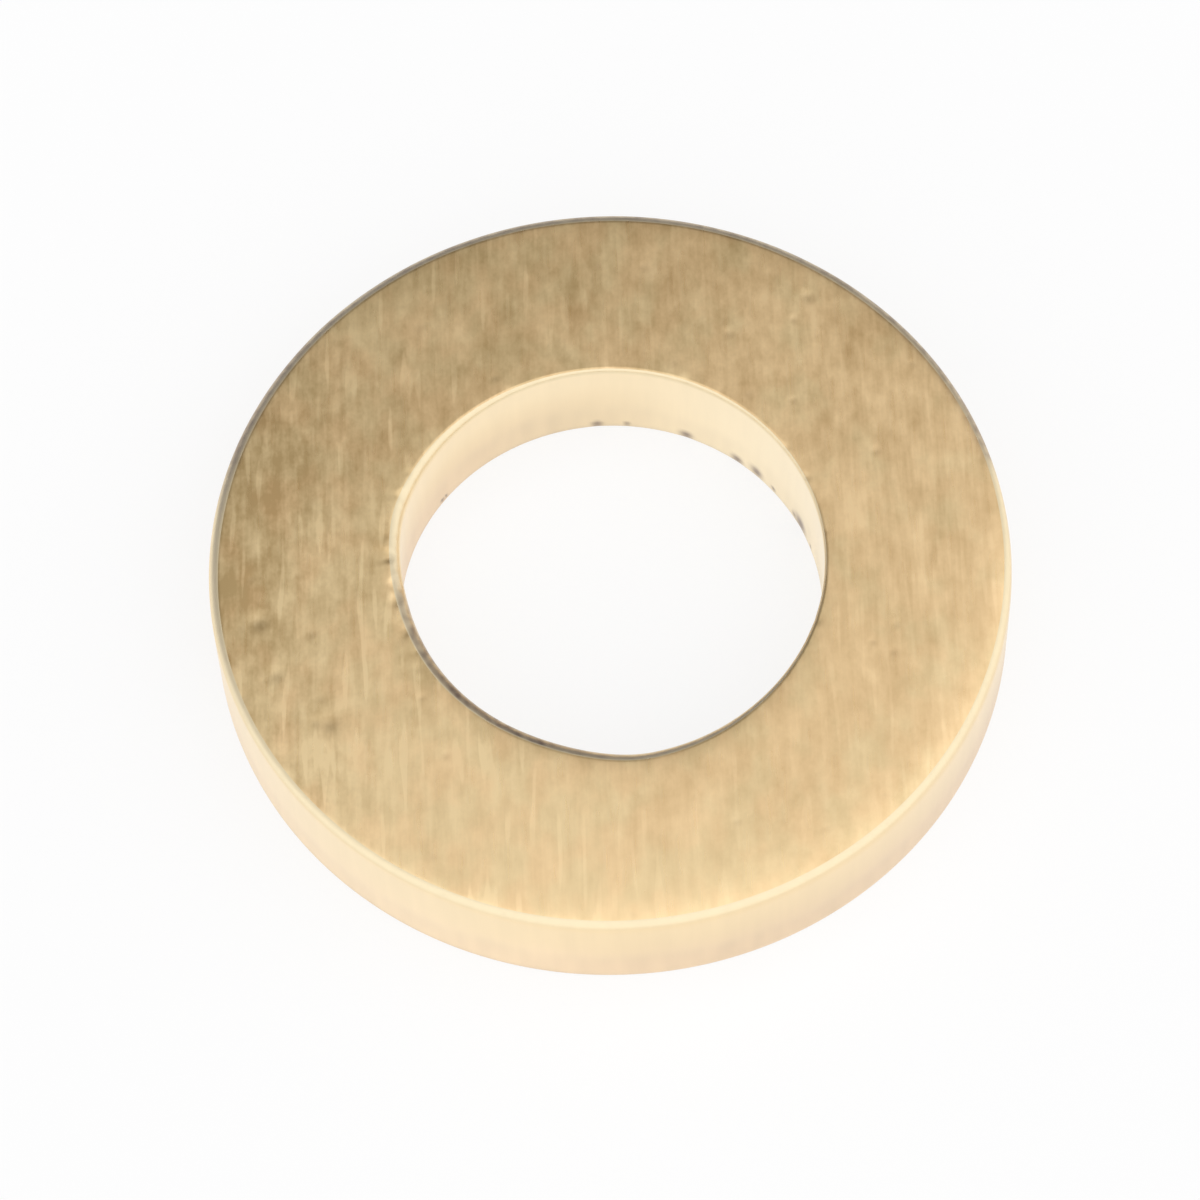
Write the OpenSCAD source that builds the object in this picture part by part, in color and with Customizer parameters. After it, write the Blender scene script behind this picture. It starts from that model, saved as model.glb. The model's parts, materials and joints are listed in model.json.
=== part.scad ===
// Plain flat washer for an M6 bolt, a single ring punched from brass sheet.
// The hole's axis is +Z, and the origin is the centre of the underside.
// The punch rolls over the edges of the top face, and the edges underneath stay sharper.

/* [Ring] */
// Outside diameter
outer_d = 12; // [11:0.1:24]
// Diameter of the hole
hole_d = 6.4; // [3.2:0.1:10]
// Thickness of the sheet
thickness = 1.8; // [0.6:0.1:3]

/* [Edges] */
// Radius of the rolled edges, around the top face and the top of the hole
top_round = 0.12; // [0.02:0.01:0.2]
// Radius of the deburred edges, around the underside and the bottom of the hole
bottom_round = 0.06; // [0.02:0.01:0.2]

/* [Hidden] */
hole_r = hole_d / 2;
ring_w = outer_d / 2 - hole_r;
overcut = 0.1;
$fn = 120;

// What a rounding takes off a square corner. The rounding's centre is the origin.
module corner_waste(r) {
    difference() {
        square(r + overcut);
        circle(r);
    }
}

// What the roundings take off the two upper corners of the section, whose top is at y = 0.
module edge_waste(r) {
    translate([ring_w - r, -r]) corner_waste(r);
    mirror([1, 0]) translate([-r, -r]) corner_waste(r);
}

// Cross-section of the ring, with the hole's wall on the Y axis and the underside on the X axis.
module section() {
    difference() {
        square([ring_w, thickness]);
        translate([0, thickness]) edge_waste(top_round);
        mirror([0, 1]) edge_waste(bottom_round);
    }
}

// The washer, one solid ring.
module washer() {
    color("burlywood")
        rotate_extrude()
            translate([hole_r, 0]) section();
}

washer();
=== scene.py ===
"""A brass flat washer lying on a pale table, modelled as one finely detailed ring around its CAD frame.

The ring is revolved from its cross-section, with upper edges and a bore that vary around it. Then it is
worn: pits in the faces, edges nicked and drawn down, walls that turn rough towards the underside, and torn
flecks where the punch broke through. Two finishes add the brushing, scratches, patina and tarnish, and
paint shade, dark reflections and highlights into the brass.
"""
import json
import math

import bpy
import numpy as np
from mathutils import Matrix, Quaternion, Vector, noise


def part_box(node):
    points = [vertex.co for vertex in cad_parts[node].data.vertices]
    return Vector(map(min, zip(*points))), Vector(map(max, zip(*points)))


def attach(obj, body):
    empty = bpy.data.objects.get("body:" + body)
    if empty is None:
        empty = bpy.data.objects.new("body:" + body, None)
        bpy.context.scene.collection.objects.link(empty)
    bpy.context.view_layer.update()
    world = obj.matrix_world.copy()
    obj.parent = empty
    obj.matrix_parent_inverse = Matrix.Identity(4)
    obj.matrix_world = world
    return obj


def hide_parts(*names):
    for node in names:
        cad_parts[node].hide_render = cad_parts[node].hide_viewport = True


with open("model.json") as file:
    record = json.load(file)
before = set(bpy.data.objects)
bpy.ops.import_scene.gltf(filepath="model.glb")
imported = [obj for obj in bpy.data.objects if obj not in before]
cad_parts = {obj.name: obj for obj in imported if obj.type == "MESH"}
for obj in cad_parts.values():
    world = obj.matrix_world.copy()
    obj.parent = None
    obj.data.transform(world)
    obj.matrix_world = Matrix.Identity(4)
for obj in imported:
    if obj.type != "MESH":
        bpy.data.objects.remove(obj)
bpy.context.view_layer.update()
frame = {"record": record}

MM = 0.001

# Sizes of the ring, from the frame. The bore's straight wall is the thickness without the roundings.
low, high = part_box("washer")
bore = next(m for m in frame["record"]["mounts"] if m["name"] == "bore")
OUTER_R = high.x
HOLE_R = bore["dims"]["r_mm"] * MM
THICKNESS = high.z - low.z
ROUNDS = THICKNESS - bore["dims"]["length_mm"] * MM
TOP_ROUND = ROUNDS * 2 / 3
BOTTOM_ROUND = ROUNDS / 3

# How far the bore's front left wall leans in at the top.
HOLE_LEAN = 0.14 * MM
# Height at which the sheared walls begin to tear, as a share of the thickness.
SHEAR_BREAK = 0.36

# Resolution of the ring's mesh, in steps around the axis and along each stretch of the cross-section.
TURN_STEPS = 600
FACE_STEPS = 66
UNDERSIDE_STEPS = 26
WALL_STEPS = 22
TOP_ARC_STEPS = 9
BOTTOM_ARC_STEPS = 4

# The stretches of the cross-section, in the outline's order.
TOP_FACE, OUTER_ROLL, OUTER_WALL, OUTER_FOOT, UNDERSIDE, BORE_FOOT, BORE_WALL, BORE_ROLL = range(8)
FLAT_STRETCHES = (TOP_FACE, UNDERSIDE)
ROLLED_STRETCHES = (OUTER_ROLL, BORE_ROLL)
WALL_STRETCHES = (OUTER_WALL, BORE_WALL, OUTER_FOOT, BORE_FOOT)

# Depths of the wear: broad waves, brushing on the faces, dents in the rolled edges, and the torn band.
WAVE_DEPTH = 0.002 * MM
BRUSHING_DEPTH = 0.0006 * MM
ROLL_DENT_DEPTH = 0.006 * MM
TEAR_DEPTH = 0.004 * MM

# How many small marks of each kind are scattered, and the seed that scatters them.
SPECKS = 70
SMALL_TEARS = 22
CROWDED_NICKS = 14
HOLE_NICKS = 16
RIM_NICKS = 24
SEED = 6

# The tarnish in the middle of a mark of each kind.
PIT_STAIN = 0.08
TEAR_STAIN = 0.88
NICK_STAIN = 0.05

# Knocks in the top face: radius as a share of OUTER_R, turn in degrees, and size and depth in millimetres.
KNOCKS = (
    (0.886, 189, 0.12, 0.006),
    (0.882, 199, 0.10, 0.005),
    (0.821, 211, 0.13, 0.006),
    (0.900, 54, 0.09, 0.004),
)
# The largest torn flecks at the bottom of the bore: turn in degrees and size in millimetres.
LARGE_TEARS = ((92, 0.10), (67, 0.11), (51, 0.11), (44, 0.12), (24, 0.18))


# ---------------------------------------------------------------- cross-section

def straight(start, end, normal, steps):
    """Points along a straight stretch, without its end, as rows of r, z and the outward normal."""
    share = np.arange(steps)[:, None] / steps
    points = np.array(start) + share * (np.array(end) - np.array(start))
    return np.hstack([points, np.tile(normal, (steps, 1))])


def rounding(centre, radius, first_deg, steps):
    """Points along a quarter turn clockwise from first_deg, without its end, in the same form."""
    turn = np.radians(first_deg - 90 * np.arange(steps) / steps)[:, None]
    normal = np.hstack([np.cos(turn), np.sin(turn)])
    return np.hstack([np.array(centre) + radius * normal, normal])


def cross_section():
    """The closed outline's rows of r, z and outward normal, each row's stretch, and its share along that."""
    stretches = [
        straight((HOLE_R + TOP_ROUND, THICKNESS), (OUTER_R - TOP_ROUND, THICKNESS), (0, 1), FACE_STEPS),
        rounding((OUTER_R - TOP_ROUND, THICKNESS - TOP_ROUND), TOP_ROUND, 90, TOP_ARC_STEPS),
        straight((OUTER_R, THICKNESS - TOP_ROUND), (OUTER_R, BOTTOM_ROUND), (1, 0), WALL_STEPS),
        rounding((OUTER_R - BOTTOM_ROUND, BOTTOM_ROUND), BOTTOM_ROUND, 0, BOTTOM_ARC_STEPS),
        straight((OUTER_R - BOTTOM_ROUND, 0), (HOLE_R + BOTTOM_ROUND, 0), (0, -1), UNDERSIDE_STEPS),
        rounding((HOLE_R + BOTTOM_ROUND, BOTTOM_ROUND), BOTTOM_ROUND, -90, BOTTOM_ARC_STEPS),
        straight((HOLE_R, BOTTOM_ROUND), (HOLE_R, THICKNESS - TOP_ROUND), (-1, 0), WALL_STEPS),
        rounding((HOLE_R + TOP_ROUND, THICKNESS - TOP_ROUND), TOP_ROUND, 180, TOP_ARC_STEPS),
    ]
    stretch = np.concatenate([np.full(len(rows), i) for i, rows in enumerate(stretches)])
    along = np.concatenate([np.arange(len(rows)) / len(rows) for rows in stretches])
    return np.vstack(stretches), stretch, along


# ---------------------------------------------------------------- uneven upper edges

def smooth(value, low_end, high_end):
    """From 0 to 1, eased, as value goes from low_end to high_end."""
    t = np.clip((value - low_end) / (high_end - low_end), 0, 1)
    return t * t * (3 - 2 * t)


def towards(turn, middle_deg, start, full):
    """From 0 to 1 as the cosine of the angle between the turn and middle_deg goes from start to full."""
    return smooth(np.cos(turn - math.radians(middle_deg)), start, full)


def hole_roll(turn):
    """The radius of the hole's upper edge: most at the front left, least at the back right."""
    return TOP_ROUND * (0.3 + 1.15 * towards(turn, 222, -0.6, 0.9))


def rim_roll(turn):
    """The radius of the rim's upper edge: most at the back."""
    return TOP_ROUND * (1 + 0.35 * towards(turn, 110, -0.1, 0.6))


def hole_lip(turn):
    """The radius of the hole at the top, which its lean leaves slightly out of round."""
    return HOLE_R - HOLE_LEAN * towards(turn, 220, 0.5, 0.95)


def uneven_edges(turn, outline, stretch, along):
    """Radius and height of each outline row at each turn, once the upper edges and the bore vary."""
    radius, height, normal_r, normal_z = outline.T
    lip = hole_lip(turn)
    inner = hole_roll(turn)
    outer = rim_roll(turn)
    up_rim = (1 - along) * (THICKNESS - outer - BOTTOM_ROUND)
    up_bore = along * (THICKNESS - inner - BOTTOM_ROUND)
    places = {
        TOP_FACE: (lip + inner + along * (OUTER_R - outer - lip - inner), height),
        OUTER_ROLL: (OUTER_R - outer * (1 - normal_r), THICKNESS - outer * (1 - normal_z)),
        OUTER_WALL: (radius, BOTTOM_ROUND + up_rim),
        BORE_WALL: (HOLE_R + along * (lip - HOLE_R), BOTTOM_ROUND + up_bore),
        BORE_ROLL: (lip + inner * (1 + normal_r), THICKNESS - inner * (1 - normal_z)),
    }
    for which, (new_radius, new_height) in places.items():
        radius = np.where(stretch == which, new_radius, radius)
        height = np.where(stretch == which, new_height, height)
    return radius, height


# ---------------------------------------------------------------- wear

def noise_at(points, per_mm, seed):
    """Smooth noise from about -1 to 1, with per_mm cycles per millimetre along X, Y and Z."""
    offset = Vector((seed * 7.3, seed * 3.1, seed * 5.7))
    scaled = points * (np.array(per_mm) / MM)
    return np.array([noise.noise(Vector(p) + offset) for p in scaled])


def bites(points, centres, radii, depths):
    """The depth of round-bottomed dents at each point, and how deep in a dent it is from 0 to 1."""
    depth = np.zeros(len(points))
    share = np.zeros(len(points))
    for centre, radius, deepest in zip(centres, radii, depths, strict=True):
        fall = np.exp(-np.sum((points - centre) ** 2, axis=1) / radius**2)
        depth += deepest * fall
        share = np.maximum(share, fall)
    return depth, share


def ring_points(radius, turn_deg, z):
    """The points at those radii, angles and heights."""
    turn = np.radians(turn_deg)
    return np.stack([radius * np.cos(turn), radius * np.sin(turn), z + 0 * turn], axis=-1)


def face_pits(rng):
    """Pits and dents: specks scattered over both faces, and the knocks."""
    radius = rng.uniform(HOLE_R + TOP_ROUND, OUTER_R - TOP_ROUND, SPECKS)
    level = np.where(rng.random(SPECKS) < 0.5, THICKNESS, 0)
    specks = ring_points(radius, rng.uniform(0, 360, SPECKS), level)
    share, turn, size, depth = np.array(KNOCKS).T
    knocks = ring_points(share * OUTER_R, turn, THICKNESS)
    sizes = np.concatenate([rng.uniform(0.03, 0.07, SPECKS), size]) * MM
    depths = np.concatenate([rng.uniform(0.001, 0.003, SPECKS), depth]) * MM
    return np.vstack([specks, knocks]), sizes, depths


def breakout_tears(rng):
    """Torn flecks along the bottom edge of the bore, largest at the back and right."""
    large_turn, large_size = np.array(LARGE_TEARS).T
    turn = np.concatenate([large_turn, rng.uniform(0, 360, SMALL_TEARS)])
    height = BOTTOM_ROUND + rng.uniform(0.04, 0.12, len(turn)) * MM
    sizes = np.concatenate([large_size, rng.uniform(0.03, 0.06, SMALL_TEARS)]) * MM
    return ring_points(HOLE_R, turn, height), sizes, 0.06 * sizes


def edge_nicks(rng):
    """Small nicks along both upper edges, crowded at the left of the hole."""
    crowded_turn = rng.normal(180, 9, CROWDED_NICKS)
    hole_turn = np.concatenate([crowded_turn, rng.uniform(0, 360, HOLE_NICKS)])
    rim_turn = rng.uniform(0, 360, RIM_NICKS)
    inset = 0.3 * TOP_ROUND
    hole_edge = ring_points(hole_lip(np.radians(hole_turn)) + inset, hole_turn, THICKNESS - inset)
    rim_edge = ring_points(OUTER_R - inset, rim_turn, THICKNESS - inset)
    hole_sizes = rng.uniform(0.04, 0.07, len(hole_turn))
    rim_sizes = rng.uniform(0.03, 0.05, len(rim_turn))
    sizes = np.concatenate([hole_sizes, rim_sizes]) * MM
    return np.vstack([hole_edge, rim_edge]), sizes, 0.08 * sizes


def edge_droop(points, radius, turn):
    """How far the upper edges are drawn down: most at the right, and raggedly at the hole's left."""
    near_top = smooth(points[:, 2], THICKNESS - 2 * TOP_ROUND, THICKNESS)
    from_rim = np.maximum(OUTER_R - TOP_ROUND - radius, 0) / MM
    from_hole = np.maximum(radius - hole_lip(turn) - hole_roll(turn), 0) / MM
    right = smooth((points[:, 0] - 0.5 * points[:, 1]) / OUTER_R, -0.3, 1.1)
    front = smooth(-points[:, 1], -0.9 * HOLE_R, 0.3 * HOLE_R)
    left = smooth(-points[:, 0], 0.8 * HOLE_R, 0.98 * HOLE_R)
    ragged = smooth(noise_at(points * (1, 1, 0), (4, 4, 1), seed=7), -0.1, 0.5)
    # Each term is the depth at the edge, and then the distance over which it dies away, in millimetres.
    rim = (0.003 + 0.010 * right) * np.exp(-from_rim / 0.12)
    rim += (0.003 + 0.015 * right) * np.exp(-from_rim / 0.45)
    hole = (0.001 + 0.007 * front) * np.exp(-from_hole / 0.15)
    hole += 0.010 * left * ragged * np.exp(-from_hole / 0.08)
    return (rim + hole) * near_top * MM


def torn_band(points):
    """How broken each wall point is, from 0 to 1 towards the underside, and the raggedness of the tear."""
    wave = noise_at(points * (1, 1, 0), (0.8, 0.8, 1), seed=4)
    break_line = THICKNESS * (SHEAR_BREAK + 0.07 * wave)
    broken = 1 - smooth(points[:, 2], break_line - 0.2 * MM, break_line + 0.2 * MM)
    return broken, noise_at(points, (5, 5, 1.2), seed=5)


def edge_shade_and_tarnish(points, radius, turn, stretch):
    """Darkening at the edges: painted dark reflection with speckled tarnish along the rim's back, painted
    dark reflection along the hole's front, and darker towards the bottom on the bore's left and on the outer
    wall's right.
    """
    height = points[:, 2]
    turn_deg = np.degrees(turn)
    speckle = 0.5 + 0.6 * noise_at(points, (9, 9, 9), seed=8)
    # Painted dark reflection along the rim's back, mixed with speckled tarnish.
    back = smooth(turn_deg, 10, 18) * (1 - smooth(turn_deg, 158, 174))
    back *= smooth(radius, OUTER_R - 2 * TOP_ROUND, OUTER_R) * np.isin(stretch, (TOP_FACE, OUTER_ROLL))
    # Painted dark reflection along the hole's front edge.
    front = towards(turn, -95, 0.1, 0.6) * (stretch == BORE_ROLL)
    front_left = towards(turn, -135, 0.6, 0.95) * (stretch == BORE_ROLL)
    bore_left = towards(turn, 135, 0.3, 0.9) * (stretch == BORE_WALL)
    wall_right = towards(turn, -35, 0.3, 0.9) * (stretch == OUTER_WALL)
    tarnish_and_shade = (0.28 + 0.62 * speckle) * back
    tarnish_and_shade += (0.05 + 0.2 * speckle) * front
    tarnish_and_shade += (0.2 + 0.45 * speckle) * front_left
    tarnish_and_shade += 0.1 * (1 - smooth(height, 0.3 * THICKNESS, 0.8 * THICKNESS)) * bore_left
    tarnish_and_shade += (0.03 + 0.12 * (1 - smooth(height, 0.3 * THICKNESS, THICKNESS - TOP_ROUND))) * wall_right
    return tarnish_and_shade


def wear(points, stretch, along):
    """How far each point is worn inwards, and how dark its tarnish and painted shade make it, from 0 to 1.
    """
    rng = np.random.default_rng(SEED)
    radius = np.linalg.norm(points[:, :2], axis=1)
    turn = np.arctan2(points[:, 1], points[:, 0])
    worn = WAVE_DEPTH * (1 + noise_at(points, (0.35, 0.35, 0.35), seed=2))
    worn += edge_droop(points, radius, turn)
    tarnish_and_shade = edge_shade_and_tarnish(points, radius, turn, stretch)

    flat = np.isin(stretch, FLAT_STRETCHES)
    inside_edges = np.sqrt(np.sin(math.pi * along[flat]))
    worn[flat] += BRUSHING_DEPTH * inside_edges * (1 + noise_at(points[flat], (6, 0.7, 1), seed=1))

    rolled = np.isin(stretch, ROLLED_STRETCHES)
    mid_roll = np.sin(math.pi * along[rolled])
    worn[rolled] += ROLL_DENT_DEPTH * mid_roll * (1 + noise_at(points[rolled], (0.9, 0.9, 0.9), seed=3))

    wall = np.isin(stretch, WALL_STRETCHES)
    height = points[wall, 2]
    broken, ragged = torn_band(points[wall])
    worn[wall] += TEAR_DEPTH * broken * smooth(height, 0, 2 * BOTTOM_ROUND) * (1 + 0.5 * ragged)
    # The torn band is a little darker, and the foot of each wall gets painted shade from the shadowed table
    # close under it.
    tarnish_and_shade[wall] += 0.05 * broken * (1 + ragged) + 0.12 * (1 - smooth(height, 0, 2.5 * BOTTOM_ROUND))

    kinds = (
        (face_pits(rng), PIT_STAIN),
        (breakout_tears(rng), TEAR_STAIN),
        (edge_nicks(rng), NICK_STAIN),
    )
    for marks, stain in kinds:
        depth, share = bites(points, *marks)
        worn += depth
        tarnish_and_shade = np.maximum(tarnish_and_shade, stain * share)
    return worn, np.clip(tarnish_and_shade, 0, 1)


# ---------------------------------------------------------------- mesh

def painted_wall_highlight(turn, height, stretch):
    """Painted highlight on the walls, from 0 to 1: most at the bore's right, some high on the bore's left,
    and less on the outer wall's left.
    """
    bore_left = towards(turn, 135, 0.3, 0.9) * smooth(height, 0.4 * THICKNESS, 0.9 * THICKNESS)
    bore = towards(turn, 15, 0.2, 0.9) + 0.4 * bore_left
    rim = 0.35 * towards(turn, 200, 0.3, 0.9)
    return bore * (stretch == BORE_WALL) + rim * (stretch == OUTER_WALL)


def revolve(outline, stretch, along):
    """The worn ring's vertices, by turn and then along the outline, and each one's tarnish with painted
    shade, and its painted highlight.
    """
    turn = np.arange(TURN_STEPS)[:, None] * (2 * math.pi / TURN_STEPS)
    radius, height = uneven_edges(turn, outline, stretch, along)

    def around(outward, upward):
        places = (outward * np.cos(turn), outward * np.sin(turn), upward + 0 * turn)
        return np.stack(places, axis=-1).reshape(-1, 3)

    points = around(radius, height)
    normals = around(outline[:, 2], outline[:, 3])
    worn, tarnish_and_shade = wear(points, np.tile(stretch, TURN_STEPS), np.tile(along, TURN_STEPS))
    return points - normals * worn[:, None], tarnish_and_shade, painted_wall_highlight(turn, height, stretch).ravel()


def ring_corners(outline_count):
    """Each quad's four corners, as whole turn steps and outline steps, which run past the seams."""
    turn, step = np.meshgrid(np.arange(TURN_STEPS), np.arange(outline_count), indexing="ij")
    turns = np.stack([turn, turn, turn + 1, turn + 1], axis=-1).reshape(-1, 4)
    steps = np.stack([step, step + 1, step + 1, step], axis=-1).reshape(-1, 4)
    return turns, steps


def brushing_map(corners, turns, steps, outline, flat):
    """UVs whose U axis runs across the brushing: along X on the faces, and around the ring elsewhere."""
    closed = np.vstack([outline, outline[:1]])[:, :2]
    lengths = np.concatenate([[0], np.cumsum(np.linalg.norm(np.diff(closed, axis=0), axis=1))])
    unrolled = np.stack([turns * (2 * math.pi / TURN_STEPS) * OUTER_R, lengths[steps]], axis=-1)
    return np.where(flat[:, None, None], corners[..., :2], unrolled) / (2 * OUTER_R)


def build_ring(face_material, wall_material):
    """The washer as one closed piece, with its faces and its edges and walls in their own finishes."""
    outline, stretch, along = cross_section()
    vertices, tarnish_and_shade, painted_highlight = revolve(outline, stretch, along)
    turns, steps = ring_corners(len(outline))
    quads = (turns % TURN_STEPS) * len(outline) + steps % len(outline)
    flat = np.isin(np.tile(stretch, TURN_STEPS), FLAT_STRETCHES)

    mesh = bpy.data.meshes.new("washer_ring")
    mesh.from_pydata(vertices.tolist(), [], quads.tolist())
    mesh.materials.append(face_material)
    mesh.materials.append(wall_material)
    mesh.polygons.foreach_set("material_index", np.where(flat, 0, 1))
    mesh.polygons.foreach_set("use_smooth", np.ones(len(quads), bool))
    mesh.attributes.new("tarnish_and_shade", "FLOAT", "POINT").data.foreach_set("value", tarnish_and_shade)
    mesh.attributes.new("painted_highlight", "FLOAT", "POINT").data.foreach_set("value", painted_highlight)
    uvs = brushing_map(vertices[quads], turns, steps, outline, flat)
    mesh.uv_layers.new(name="brushing").data.foreach_set("uv", uvs.ravel())
    mesh.update()

    ring = bpy.data.objects.new("washer_ring", mesh)
    bpy.context.scene.collection.objects.link(ring)
    return ring


# ---------------------------------------------------------------- shader building blocks

class Shader:
    """A new material's node tree, with short calls for the nodes that the finishes use."""

    def __init__(self, name):
        self.material = bpy.data.materials.new(name)
        self.material.use_nodes = True
        self.tree = self.material.node_tree
        self.surface = self.tree.nodes["Principled BSDF"]
        place = self.tree.nodes.new("ShaderNodeTexCoord").outputs["Object"]
        self.place_mm = self.vector("SCALE", place, scale=1 / MM)

    def put(self, socket, value):
        """Links value to the socket, or sets it as the socket's own value."""
        if isinstance(value, bpy.types.NodeSocket):
            self.tree.links.new(value, socket)
        else:
            socket.default_value = value

    def math(self, operation, a, b=0.0, c=0.0):
        """A Math node's result."""
        node = self.tree.nodes.new("ShaderNodeMath")
        node.operation = operation
        for socket, value in zip(node.inputs, (a, b, c), strict=True):
            self.put(socket, value)
        return node.outputs[0]

    def vector(self, operation, a, b=(0, 0, 0), scale=1.0):
        """A Vector Math node's result."""
        node = self.tree.nodes.new("ShaderNodeVectorMath")
        node.operation = operation
        self.put(node.inputs[0], a)
        if operation == "SCALE":
            self.put(node.inputs["Scale"], scale)
        else:
            self.put(node.inputs[1], b)
        return node.outputs["Value" if operation == "DOT_PRODUCT" else "Vector"]

    def noise(self, per_mm, detail=2.0, roughness=0.5):
        """Noise from -0.5 to 0.5, with per_mm cycles per millimetre along X, Y and Z."""
        node = self.tree.nodes.new("ShaderNodeTexNoise")
        self.put(node.inputs["Vector"], self.vector("MULTIPLY", self.place_mm, per_mm))
        node.inputs["Scale"].default_value = 1.0
        node.inputs["Detail"].default_value = detail
        node.inputs["Roughness"].default_value = roughness
        return self.math("SUBTRACT", node.outputs["Fac"], 0.5)

    def ease(self, value, from_low, from_high, to_low=0.0, to_high=1.0):
        """From to_low to to_high, eased, as value goes from from_low to from_high."""
        node = self.tree.nodes.new("ShaderNodeMapRange")
        node.interpolation_type = "SMOOTHSTEP"
        settings = (value, from_low, from_high, to_low, to_high)
        for socket, setting in zip(node.inputs, settings, strict=False):
            self.put(socket, setting)
        return node.outputs["Result"]

    def total(self, start, *shares):
        """start, plus each value times the weight beside it."""
        for value, weight in shares:
            start = self.math("MULTIPLY_ADD", value, weight, start)
        return start

    def along(self, direction):
        """How far the point lies along the direction, in millimetres."""
        return self.vector("DOT_PRODUCT", self.place_mm, direction)

    def region(self, direction, start_mm, full_mm, *shares):
        """From 0 to 1 as the point's place along the direction, plus the shares, goes from start to full."""
        return self.ease(self.total(self.along(direction), *shares), start_mm, full_mm)

    def mix(self, share, a, b):
        """The colour that is share of the way from a to b."""
        node = self.tree.nodes.new("ShaderNodeMix")
        node.data_type = "RGBA"
        self.put(node.inputs["Factor"], share)
        self.put(node.inputs["A"], a)
        self.put(node.inputs["B"], b)
        return node.outputs["Result"]

    def attribute(self, name):
        """A value that the mesh carries."""
        node = self.tree.nodes.new("ShaderNodeAttribute")
        node.attribute_name = name
        return node.outputs["Fac"]

    def bump(self, height, depth_mm):
        """Bump in the surface where height goes from 0 to 1 over depth_mm."""
        node = self.tree.nodes.new("ShaderNodeBump")
        node.inputs["Distance"].default_value = depth_mm * MM
        node.inputs["Strength"].default_value = 1.0
        self.put(node.inputs["Height"], height)
        self.put(self.surface.inputs["Normal"], node.outputs["Normal"])

    def along_brushing(self, strength):
        """Stretches highlights across the brushing marks, which the UV map's U axis crosses."""
        node = self.tree.nodes.new("ShaderNodeTangent")
        node.direction_type = "UV_MAP"
        node.uv_map = "brushing"
        self.surface.inputs["Anisotropic"].default_value = strength
        self.put(self.surface.inputs["Tangent"], node.outputs["Tangent"])


# ---------------------------------------------------------------- finishes

DEEP_BRASS = (0.62, 0.43, 0.213, 1)
PALE_BRASS = (0.99, 0.75, 0.435, 1)
OLIVE_TINT = (0.98, 1.006, 1.0, 1)
ORANGE_TINT = (1.02, 0.992, 0.975, 1)
ROLLED_BRASS = (0.88, 0.753, 0.513, 1)
SHEARED_BRASS = (0.955, 0.758, 0.475, 1)
TORN_BRASS = (0.985, 0.768, 0.515, 1)
# Painted bounce light colour of the walls towards the back.
BOUNCE_LIT_BRASS = (0.96, 0.785, 0.52, 1)
# Painted highlight colour of the walls.
HIGHLIGHT_BRASS = (0.995, 0.85, 0.60, 1)
# Dark colour of the stains and tarnish, and of the painted shade and painted dark reflections.
OXIDE_AND_SHADE = (0.22, 0.155, 0.135, 1)


def brushed_brass():
    """The faces: straight brushing, scratches, and a mottled patina that is heavier at the back and left,
    with painted shade towards the back and along the left rim, and painted light at the front left.
    """
    shader = Shader("brushed_brass")
    streaks = shader.noise((5.1, 0.8, 1))
    lines = shader.noise((15, 1.3, 1))
    mottle = shader.noise((4.2, 2.9, 1), detail=3, roughness=0.65)
    cloud = shader.noise((1.3, 0.9, 1))
    hue = shader.noise((1.9, 1.3, 1))
    scratches = shader.ease(shader.noise((8.5, 0.8, 5), detail=0), 0.13, 0.24)

    sides = shader.ease(shader.math("ABSOLUTE", shader.along((1, 0, 0))), 2.5, 5.0)
    left = shader.region((-1, 0, 0), -1.0, 4.0)
    left_rim = shader.region((-1, 0, 0), 3.2, 5.0)
    # Painted shade along the left rim of the face.
    painted_rim_shade = shader.region((-1, 0, 0), 3.9, 5.9)
    back_left = shader.region((-0.7, 0.7, 0), -4.5, 1.5)
    front_right = shader.region((0.7, -0.7, 0), 3.0, 5.5)
    # Mottled patina with painted shade, darker towards the back left.
    patina_and_back_shade = shader.region((-0.6, 0.8, 0), -1.0, 4.0, (cloud, 2))
    # Painted light: lighter towards the front left.
    painted_light = shader.region((-0.6, -0.8, 0), 1.75, 4.75, (cloud, 1.5))

    fine_gain = shader.total(0.72, (sides, 0.5), (front_right, -0.4))
    fine = shader.math("MULTIPLY", shader.total(0.0, (streaks, 0.79), (lines, 0.53)), fine_gain)
    coarse_gain = shader.total(0.6, (back_left, 0.45), (left_rim, 0.4), (painted_light, -0.3))
    coarse = shader.math("MULTIPLY", shader.total(0.0, (mottle, 1.31), (cloud, 0.92)), coarse_gain)
    scratched = shader.math("MULTIPLY", scratches, shader.total(0.105, (left, 0.245)))
    # The faces' tone: scratches, patina, painted shade towards the back and on the left rim, and painted
    # light at the front left.
    worn = shader.total(0.627, (patina_and_back_shade, -0.123), (painted_light, 0.157), (painted_rim_shade, -0.41), (scratched, 1.0))
    shade = shader.total(worn, (fine, 1.0), (coarse, 1.0))
    warm = shader.region((0.02, 0.003, 0), -0.18, 0.13, (hue, 1.0), (front_right, -0.07))
    brass = shader.mix(shade, DEEP_BRASS, PALE_BRASS)
    brass = shader.vector("MULTIPLY", brass, shader.mix(warm, OLIVE_TINT, ORANGE_TINT))
    # Stains and tarnish, with painted shade and painted dark reflections at the edges, carried by the mesh.
    shader.put(shader.surface.inputs["Base Color"], shader.mix(shader.attribute("tarnish_and_shade"), brass, OXIDE_AND_SHADE))

    shader.surface.inputs["Metallic"].default_value = 1.0
    shader.put(shader.surface.inputs["Roughness"], shader.total(0.29, (lines, 0.10)))
    shader.along_brushing(0.6)
    shader.bump(shader.total(streaks, (lines, 0.5)), 0.0006)
    return shader.material


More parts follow.
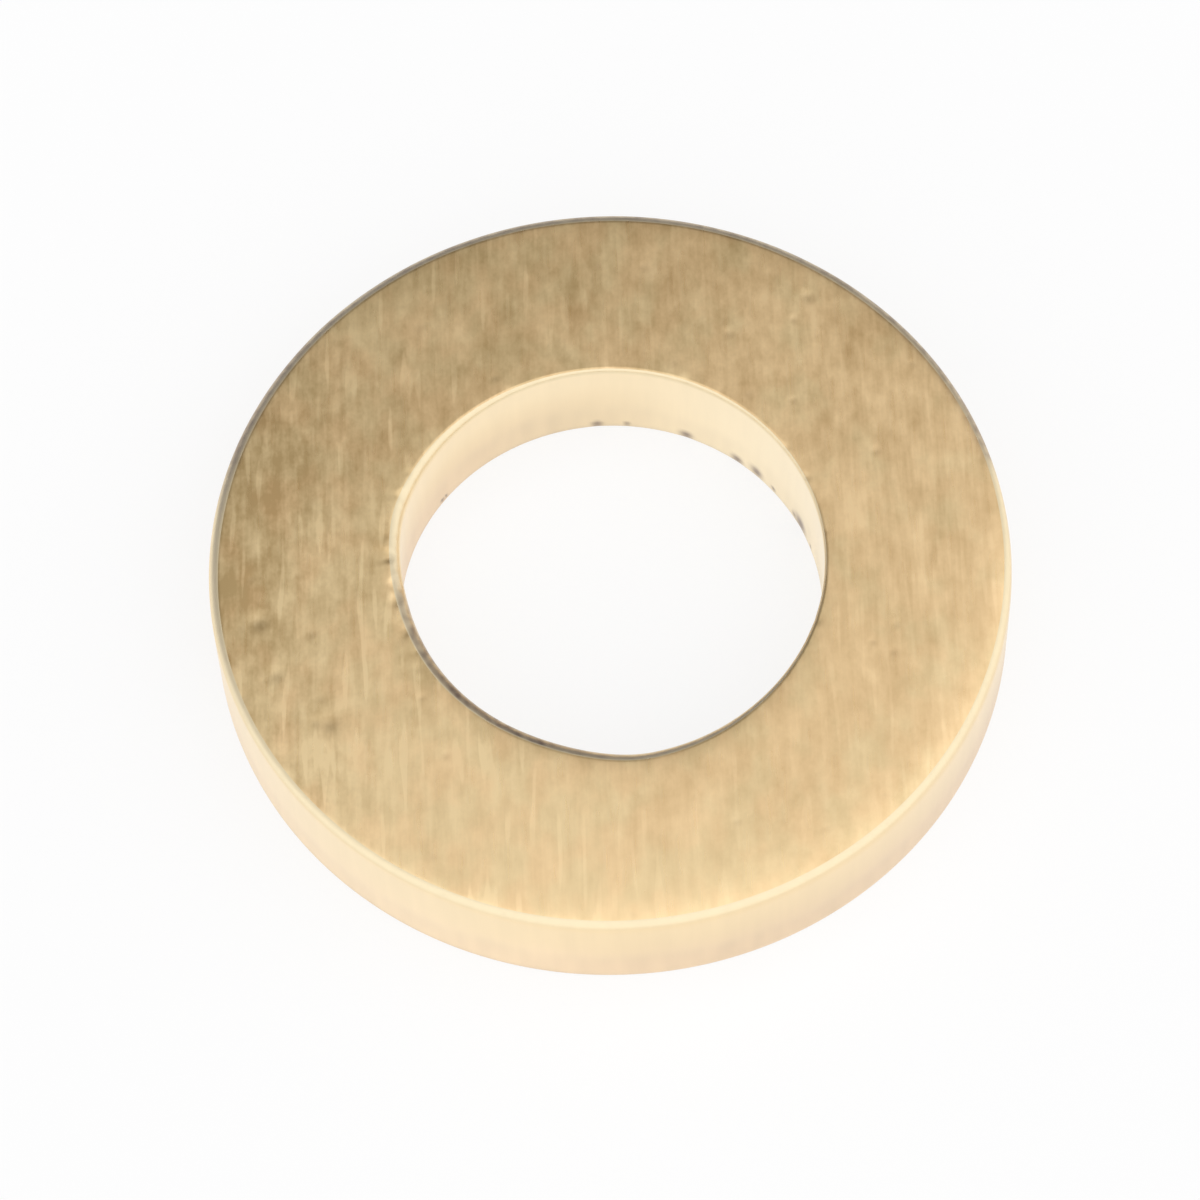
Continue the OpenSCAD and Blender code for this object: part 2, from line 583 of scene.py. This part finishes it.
def punched_brass():
    """The rolled edges and sheared walls: smooth above, and a little greyer and rougher where they tore,
    with painted bounce light towards the back and painted highlights.
    """
    shader = Shader("punched_brass")
    drawn = shader.noise((5, 5, 0.5), detail=3)
    cloud = shader.noise((0.7, 0.7, 0.9))
    break_height = SHEAR_BREAK * THICKNESS / MM
    wavy_height = shader.total(shader.along((0, 0, 1)), (cloud, -0.5))
    torn = shader.ease(wavy_height, break_height - 0.45, break_height + 0.65, 1.0, 0.0)
    roll_start = (THICKNESS - 1.2 * TOP_ROUND) / MM
    roll_full = (THICKNESS - 0.4 * TOP_ROUND) / MM
    rolled = shader.region((0, 0, 1), roll_start, roll_full)
    # Painted bounce light: lighter, yellower walls towards the back.
    back = shader.region((0.5, 1, 0), 0.5, 3.4)

    brass = shader.mix(torn, SHEARED_BRASS, TORN_BRASS)
    brass = shader.mix(back, brass, BOUNCE_LIT_BRASS)
    # Painted highlight on the walls, carried by the mesh.
    brass = shader.mix(shader.attribute("painted_highlight"), brass, HIGHLIGHT_BRASS)
    brass = shader.mix(rolled, brass, ROLLED_BRASS)
    brass = shader.vector("SCALE", brass, scale=shader.total(1.0, (drawn, 0.08)))
    # Stains and tarnish, with painted shade and painted dark reflections at the edges, carried by the mesh.
    shader.put(shader.surface.inputs["Base Color"], shader.mix(shader.attribute("tarnish_and_shade"), brass, OXIDE_AND_SHADE))

    shader.surface.inputs["Metallic"].default_value = 1.0
    shader.put(shader.surface.inputs["Roughness"], shader.total(0.30, (rolled, 0.14), (torn, 0.06)))
    shader.along_brushing(0.3)
    shader.bump(drawn, 0.0015)
    return shader.material


def table_top():
    """A pale surface that glows evenly, like a light table, so that hardly any shadow shows."""
    shader = Shader("table_top")
    shader.surface.inputs["Base Color"].default_value = (0.18, 0.18, 0.18, 1)
    shader.surface.inputs["Roughness"].default_value = 0.9
    shader.surface.inputs["Emission Color"].default_value = (1, 1, 1, 1)
    shader.surface.inputs["Emission Strength"].default_value = 0.80
    return shader.material


# ---------------------------------------------------------------- stage

# The white tent around the table: the direction of its middle, and the light from each side by the cosine of
# its angle to that middle, which is the cool dim room behind, the tent's warm edge, and the tent itself.
TENT_MIDDLE = (0.40, -0.80, 0.53)
TENT_LIGHT = (
    (-0.45, (0.28, 0.29, 0.365, 1)),
    (-0.05, (0.215, 0.20, 0.145, 1)),
    (0.22, (1.19, 1.19, 1.20, 1)),
)

# White cards beyond the tent: the direction of each middle, and the cosines where it starts and is full.
CARDS = (
    ((-0.75, -0.65, 0.10), 0.35, 0.80),
    ((0.90, 0.25, 0.12), 0.78, 0.95),
)

# The even white behind the table, which only the camera sees.
BACKDROP = (0.983, 0.983, 0.983, 1)


def build_table():
    """A round pale table under the washer."""
    bpy.ops.mesh.primitive_circle_add(vertices=96, radius=60 * OUTER_R, fill_type="NGON")
    table = bpy.context.object
    table.name = "table"
    table.data.materials.append(table_top())


def build_camera():
    """A long lens that looks down at the washer from the front, with a slight roll."""
    elevation = math.radians(63.285)
    distance = 14 * OUTER_R
    roll = math.radians(-2.43)
    aim = Vector((-0.0287 * OUTER_R, 0.0358 * OUTER_R, 0))
    data = bpy.data.cameras.new("camera")
    data.lens = 165.74
    data.clip_start = MM
    camera = bpy.data.objects.new("camera", data)
    camera.location = (0, -distance * math.cos(elevation), distance * math.sin(elevation))
    look = (aim - camera.location).to_track_quat("-Z", "Y")
    camera.rotation_mode = "QUATERNION"
    camera.rotation_quaternion = look @ Quaternion((0, 0, 1), roll)
    bpy.context.scene.collection.objects.link(camera)
    bpy.context.scene.camera = camera


def build_studio():
    """A white tent and cards, open to a dim room behind, and a pale backdrop that only the camera sees."""
    world = bpy.data.worlds.new("studio")
    world.use_nodes = True
    tree = world.node_tree
    tree.nodes.clear()
    new = tree.nodes.new
    link = tree.links.new
    direction = new("ShaderNodeTexCoord").outputs["Generated"]

    def facing(middle):
        """The cosine of the angle between the light's direction and middle."""
        product = new("ShaderNodeVectorMath")
        product.operation = "DOT_PRODUCT"
        product.inputs[1].default_value = Vector(middle).normalized()
        link(direction, product.inputs[0])
        return product.outputs["Value"]

    def eased(cosine, start, full, interpolation):
        """From 0 to 1 as cosine goes from start to full."""
        share = new("ShaderNodeMapRange")
        share.interpolation_type = interpolation
        share.inputs["From Min"].default_value = start
        share.inputs["From Max"].default_value = full
        link(cosine, share.inputs["Value"])
        return share.outputs["Result"]

    ramp = new("ShaderNodeValToRGB")
    ramp.color_ramp.interpolation = "EASE"
    for _ in TENT_LIGHT[2:]:
        ramp.color_ramp.elements.new(0.5)
    for element, (cosine, colour) in zip(ramp.color_ramp.elements, TENT_LIGHT, strict=True):
        element.position = (cosine + 1) / 2
        element.color = colour
    link(eased(facing(TENT_MIDDLE), -1, 1, "LINEAR"), ramp.inputs["Fac"])
    light = ramp.outputs["Color"]
    for middle, start, full in CARDS:
        card = new("ShaderNodeMix")
        card.data_type = "RGBA"
        card.inputs["B"].default_value = TENT_LIGHT[-1][1]
        link(eased(facing(middle), start, full, "SMOOTHSTEP"), card.inputs["Factor"])
        link(light, card.inputs["A"])
        light = card.outputs["Result"]

    tent = new("ShaderNodeBackground")
    backdrop = new("ShaderNodeBackground")
    backdrop.inputs["Color"].default_value = BACKDROP
    seen = new("ShaderNodeMixShader")
    link(light, tent.inputs["Color"])
    link(new("ShaderNodeLightPath").outputs["Is Camera Ray"], seen.inputs["Fac"])
    link(tent.outputs[0], seen.inputs[1])
    link(backdrop.outputs[0], seen.inputs[2])
    link(seen.outputs[0], new("ShaderNodeOutputWorld").inputs["Surface"])
    bpy.context.scene.world = world
    bpy.context.scene.view_settings.view_transform = "Standard"


ring = build_ring(brushed_brass(), punched_brass())
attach(ring, "root")
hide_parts("washer")
build_table()
build_camera()
build_studio()
